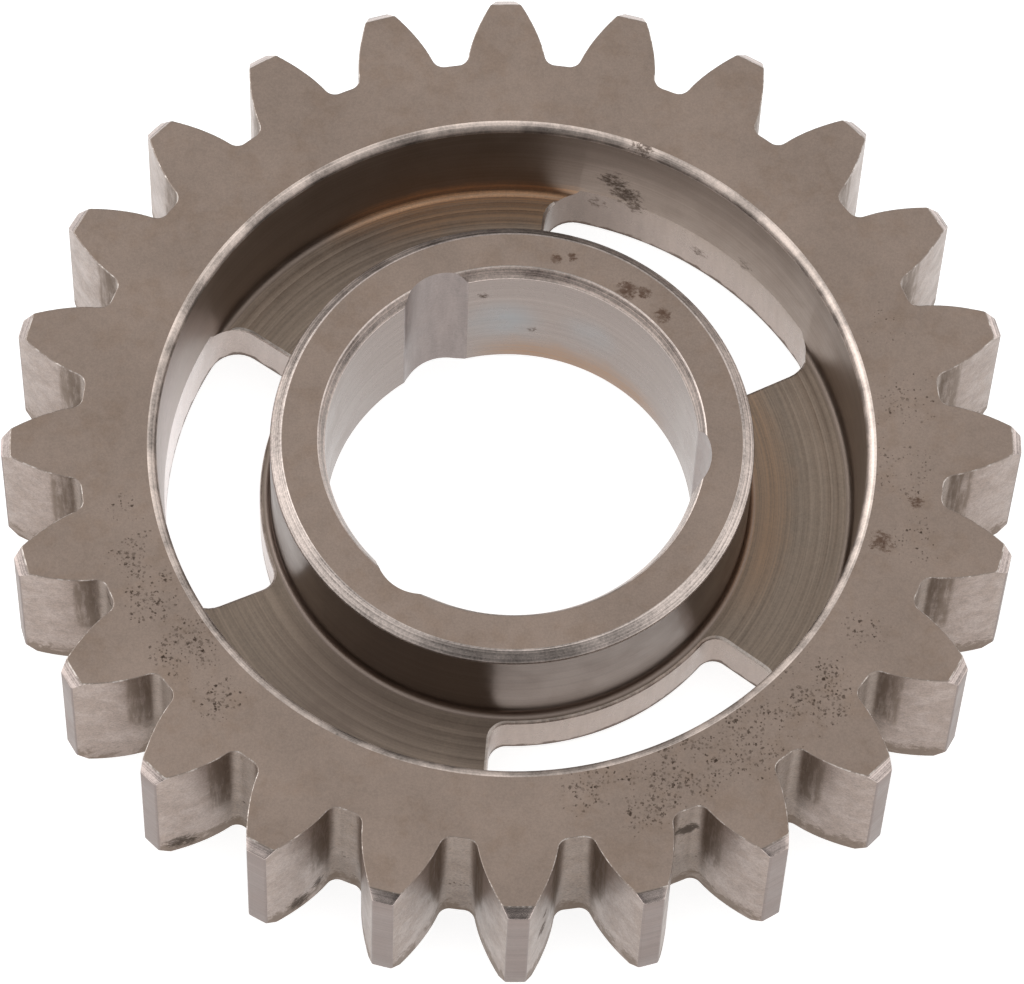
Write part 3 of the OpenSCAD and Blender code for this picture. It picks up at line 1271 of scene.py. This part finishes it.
class Finishes:
    """All the finishes of the gear, by zone."""

    def __init__(self) -> None:
        """Builds the material of each zone."""
        wall = (0.335, 0.266, 0.222)
        rim_spot = (Mark(9.24, 21.92, 12.0, 1.1, 0.7), Mark(8.6, 22.2, 11.8, 0.9, 0.6))
        # Rust round the rim wall's foot and the web; on the rim wall its bright colour also paints in the fillet's
        # highlight
        foot_rust_and_highlight = (Band(22.75, 4.4, 1.3, 96, 29), Band(21.7, 4.1, 1.9, 92, 26, 0.6))
        hub_rust = (Band(17.4, 4.1, 2.0, 3, 38, 0.4), Band(16.4, 4.4, 0.9, 0, 42, 0.45))
        bore_brown = (Band(12.35, 0.3, 3.4, 66, 40, 0.8),)
        bore_mark = (Mark(-1.75, 12.23, 9.39, 0.8, 0.6), Mark(1.7, 12.2, 4.4, 0.7, 0.5))
        bore_blue = (Mark(-0.5, 12.3, 5.6, 3.6, 0.6), Mark(5.6, 11.0, 6.0, 2.8, 0.4))
        smears = (Mark(7.39, 22.2, 7.4, 2.2, 0.6), Mark(8.2, 21.8, 6.0, 2.2, 0.64), Mark(8.8, 21.5, 4.9, 1.7, 0.62),
                  Mark(13.3, 19.1, 2.8, 1.4, 0.55), Mark(6.3, 22.3, 3.9, 1.5, 0.5), Mark(16.2, 16.5, 5.5, 1.6, 0.45))
        # A darker patch low on the back slot's wall, and a painted reflection of the floor on the left slot's outer
        # wall
        slot_tone_and_reflection = ((Mark(3.4, 22.8, 1.5, 10.5), (0.2, 0.153, 0.128)),
                      (Mark(-23.2, 1, 5, 16), (0.88, 0.8, 0.78)))
        # Painted reflection of the floor on the rim wall's left end, above the left slot
        painted_reflection_left = (Mark(-23.2, 1, 8, 14, 0.9),)
        # Darker patches on the web
        darker_web_patches = (Mark(-11, -16, 4.1, 10, 0.75), Mark(0, -20, 4.1, 7, 0.8), Mark(-7, 19, 4.1, 6, 0.4))
        makers = {
            Zone.GROUND_FACE: GroundFace(),
            Zone.TOOTH_FLANK: ToothFlank(),
            Zone.TIP_LAND: TurnedFinish("turned_tip", (0.24, 0.192, 0.174), 0.38, contrast=0.06),
            Zone.CHAMFER: TurnedFinish("turned_chamfer", (0.43, 0.362, 0.335), 0.22, 9, 0.005, 0.26),
            Zone.RIM_ROUND: TurnedFinish("rounded_rim_edge", (0.56, 0.475, 0.425), 0.42, 8, 0.006, 0.22,
                                         uneven=1.4, spots=rim_spot),
            Zone.HUB_CHAMFER: TurnedFinish("turned_hub_chamfer", (0.57, 0.49, 0.447), 0.33, 12, 0.01, 0.3),
            Zone.EDGE: TurnedFinish("worn_edge", (0.56, 0.5, 0.46), 0.36, 6, 0.01, 0.2, broken=0.9),
            # Rim wall: painted highlight in its foot rust colour, painted reflection at its left end, painted shade
            # at its foot
            Zone.TURNED_WALL: TurnedFinish("turned_rim_wall", wall, 0.42, 6, 0.004, 0.05, 0.2, spots=rim_spot,
                                           smears=smears, rust=foot_rust_and_highlight, rust_and_highlight_colour=(0.78, 0.47, 0.27),
                                           cast=painted_reflection_left, cast_colour=(0.72, 0.65, 0.63), foot_shade=0.3),
            Zone.HUB_WALL: TurnedFinish("turned_hub_wall", (0.228, 0.182, 0.156), 0.33, 6, 0.004, 0.05, 0.2,
                                        rust=hub_rust),
            Zone.WEB: TurnedFinish("turned_web", (0.276, 0.221, 0.177), 0.46, contrast=0.11, uneven=0.9,
                                   rust=foot_rust_and_highlight + hub_rust, rust_and_highlight_colour=(0.48, 0.275, 0.145),
                                   cast=darker_web_patches, cast_colour=(0.19, 0.148, 0.123)),
            Zone.BORE: TurnedFinish("honed_bore", (0.315, 0.266, 0.242), 0.26, 8, 0.003, 0.05,
                                    spots=bore_mark, rust=bore_brown, cast=bore_blue),
            Zone.SLOT_WALL: MilledWall("milled_slot", (0.38, 0.306, 0.267), 0.3, 0.05, smears, upper=wall,
                                       tones=slot_tone_and_reflection, dark_bottom_z=0.55),
            Zone.OIL_GROOVE: MilledWall("milled_groove", (0.285, 0.237, 0.221), 0.34),
            Zone.SLOT_EDGE: MilledWall("slot_edge", (0.55, 0.485, 0.44), 0.35, 0.12),
        }
        self.materials = {zone: maker.build() for zone, maker in makers.items()}


@dataclass
class PinionGear:
    """The whole gear: toothed blank, three slots and three oil grooves."""

    blank: Blank
    slots: Slots
    grooves: OilGrooves
    crease: float = 14.0
    wedge_gap: float = 0.002
    cutter_gap: float = 0.0005
    doubles_gap: float = 0.0002
    first_tooth: float = 90.0

    def build(self, finishes: Finishes) -> bpy.types.Object:
        """Makes the gear.

        Args:
            finishes: the material of each zone.

        Returns:
            The finished piece.
        """
        parts = finishes.materials
        cut_zones = (Zone.SLOT_WALL, Zone.SLOT_EDGE, Zone.OIL_GROOVE)
        body_zones = {z: m for z, m in parts.items() if z not in cut_zones}
        body = RingTree("wedges_round_the_bore", body_zones).copy_round(
            self.blank.wedge(), self.blank.tooth.teeth, self.first_tooth, self.wedge_gap)
        log.info("blank: %d faces", len(body.data.polygons))
        tools = []
        for sizes, zones in ((self.slots, cut_zones[:2]), (self.grooves, cut_zones[2:])):
            mesh = sizes.cutter()
            tree = RingTree(f"{mesh.name}_copies", {zone: parts[zone] for zone in zones})
            tool = tree.copy_round(mesh, sizes.count, sizes.angle, self.cutter_gap)
            self.face_outwards(tool.data)
            modifier = body.modifiers.new(tool.name, "BOOLEAN")
            modifier.operation = "DIFFERENCE"
            modifier.solver = "EXACT"
            modifier.material_mode = "TRANSFER"
            modifier.object = tool
            tools.append(tool)
            log.info("%s: %d cuts", tool.name, sizes.count)
        self.face_outwards(body.data)
        mesh = baked(body)
        for used in [body, *tools]:
            bpy.data.objects.remove(used)
        mesh.name = "gear_body"
        self.smooth(mesh)
        return link_object(mesh.name, mesh)

    def face_outwards(self, mesh: bpy.types.Mesh) -> None:
        """Merges doubles and turns every face outwards.

        Args:
            mesh: the mesh.
        """
        with reworked(mesh) as work:
            bmesh.ops.remove_doubles(work, verts=work.verts, dist=self.doubles_gap * MM)
            bmesh.ops.recalc_face_normals(work, faces=work.faces)

    def smooth(self, mesh: bpy.types.Mesh) -> None:
        """Cleans the cut mesh and shades it smooth between its creases.

        Args:
            mesh: the cut mesh.
        """
        with reworked(mesh) as work:
            bmesh.ops.remove_doubles(work, verts=work.verts, dist=self.cutter_gap * MM)
            bmesh.ops.dissolve_degenerate(work, edges=work.edges, dist=self.cutter_gap * MM)
            open_edges = [e for e in work.edges if len(e.link_faces) != 2]
            log.info("gear: %d faces, %d open edges, volume %.1f mm3", len(work.faces), len(open_edges),
                     work.calc_volume(signed=True) / MM**3)
        mesh.shade_smooth()
        mesh.set_sharp_from_angle(angle=math.radians(self.crease))


@dataclass
class Studio:
    """Pale floor, soft light and the camera, which stands as the photograph's did."""

    floor_r: float = 3.0
    floor_sides: int = 96
    floor_z: float = -0.00003
    floor_grey: float = 0.6
    floor_glow: float = 0.83
    eye: Triple = (-11.180, -197.999, 418.147)
    right: Triple = (0.999692, -0.012928, 0.021184)
    up: Triple = (0.002515, 0.901977, 0.431776)
    lens: float = 240.833
    sensor: float = 36.0
    ceiling: float = 1.02
    horizon: float = 1.25
    horizon_z: Span = (0.12, 0.5)
    dim: float = 0.34
    dim_edge: Span = (0.5, 0.93)
    strip: float = 0.3
    strip_edge: Span = (0.925, 0.98)
    back: float = 0.42
    back_edge: Span = (0.76, 0.97)
    dim_side: Triple = (0.0, -0.927, 0.375)
    back_side: Triple = (0.0, 0.966, 0.259)
    near: float = 0.01
    lamp_at: Triple = (-394, 256, 341)
    lamp_size: float = 420.0
    lamp_power: float = 0.65

    def floor(self) -> None:
        """A wide white floor that keeps the gear's soft shadow, clear when looked at from underneath."""
        mesh = bpy.data.meshes.new("floor")
        with reworked(mesh) as work:
            bmesh.ops.create_circle(work, cap_ends=True, segments=self.floor_sides, radius=self.floor_r)
            bmesh.ops.translate(work, verts=work.verts, vec=(0, 0, self.floor_z))
        material = bpy.data.materials.new("white_floor")
        tree = bare_tree(material)
        path = add_node(tree, "ShaderNodeLightPath").outputs
        seen = most([Signal(path[f"Is {kind} Ray"]) for kind in ("Camera", "Glossy", "Transmission")])
        glow = add_node(tree, "ShaderNodeEmission", Strength=seen * self.floor_glow)
        plain = add_node(tree, "ShaderNodeBsdfDiffuse", Color=(self.floor_grey,) * 3)
        both = add_node(tree, "ShaderNodeAddShader")
        under = add_node(tree, "ShaderNodeNewGeometry").outputs["Backfacing"]
        either = add_node(tree, "ShaderNodeMixShader", Fac=under)
        clear = add_node(tree, "ShaderNodeBsdfTransparent")
        for source, socket in ((plain, both.inputs[0]), (glow, both.inputs[1]), (both, either.inputs[1]),
                               (clear, either.inputs[2])):
            feed(socket, source.outputs[0])
        add_node(tree, "ShaderNodeOutputMaterial", Surface=either.outputs[0])
        mesh.materials.append(material)
        link_object("floor", mesh)

    def world(self) -> None:
        """A light tent: brightest at the horizon, dimmer in front and low at the back, white to the camera."""
        world = bpy.data.worlds.new("light_tent")
        bpy.context.scene.world = world
        tree = bare_tree(world)
        where = Signal(add_node(tree, "ShaderNodeTexCoord").outputs["Generated"])
        height = Signal(add_node(tree, "ShaderNodeSeparateXYZ", Vector=where).outputs["Z"])
        front, rear = (where.vector("DOT_PRODUCT", side) for side in (self.dim_side, self.back_side))
        level = height.ease(*self.horizon_z, self.horizon, self.ceiling)
        for side, edge, share in ((front, self.dim_edge, self.dim), (front, self.strip_edge, self.strip),
                                  (rear, self.back_edge, self.back)):
            level = level * side.ease(*edge, 1.0, share)
        seen = add_node(tree, "ShaderNodeLightPath").outputs["Is Camera Ray"]
        shown = add_node(tree, "ShaderNodeMix", Factor=seen, A=level, B=1.0).outputs["Result"]
        background = add_node(tree, "ShaderNodeBackground", Color=(1, 1, 1), Strength=shown)
        add_node(tree, "ShaderNodeOutputWorld", Surface=background.outputs[0])

    def lamp(self) -> None:
        """A square soft lamp at the left, aimed at the gear."""
        light = bpy.data.lights.new("soft_box_left", "AREA")
        light.size = self.lamp_size * MM
        light.energy = self.lamp_power
        lamp = link_object("soft_box_left", light)
        lamp.location = Vector(self.lamp_at) * MM
        lamp.rotation_euler = lamp.location.to_track_quat("Z", "Y").to_euler()

    def camera(self) -> None:
        """The camera, at the photograph's angle."""
        data = bpy.data.cameras.new("camera")
        data.sensor_width = self.sensor
        data.sensor_fit = "HORIZONTAL"
        data.lens = self.lens
        data.clip_start = self.near
        camera = link_object("camera", data)
        right, up = Vector(self.right), Vector(self.up)
        turn = Matrix((right, up, right.cross(up))).transposed().to_4x4()
        camera.matrix_world = Matrix.Translation(Vector(self.eye) * MM) @ turn
        bpy.context.scene.camera = camera

    def build(self) -> None:
        """Sets up the floor, the light and the camera."""
        self.floor()
        self.world()
        self.lamp()
        self.camera()
        bpy.context.scene.view_settings.view_transform = "Standard"


def main() -> None:
    logging.basicConfig(level=logging.INFO, format="%(name)s %(message)s")
    blank = Blank()
    piece = PinionGear(blank, Slots(blank), OilGrooves(blank)).build(Finishes())
    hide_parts("pinion_gear")
    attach(piece, "root")
    log.info("piece %s: %d faces, %d materials", piece.name, len(piece.data.polygons), len(piece.data.materials))
    Studio().build()


if __name__ == "__main__":
    main()
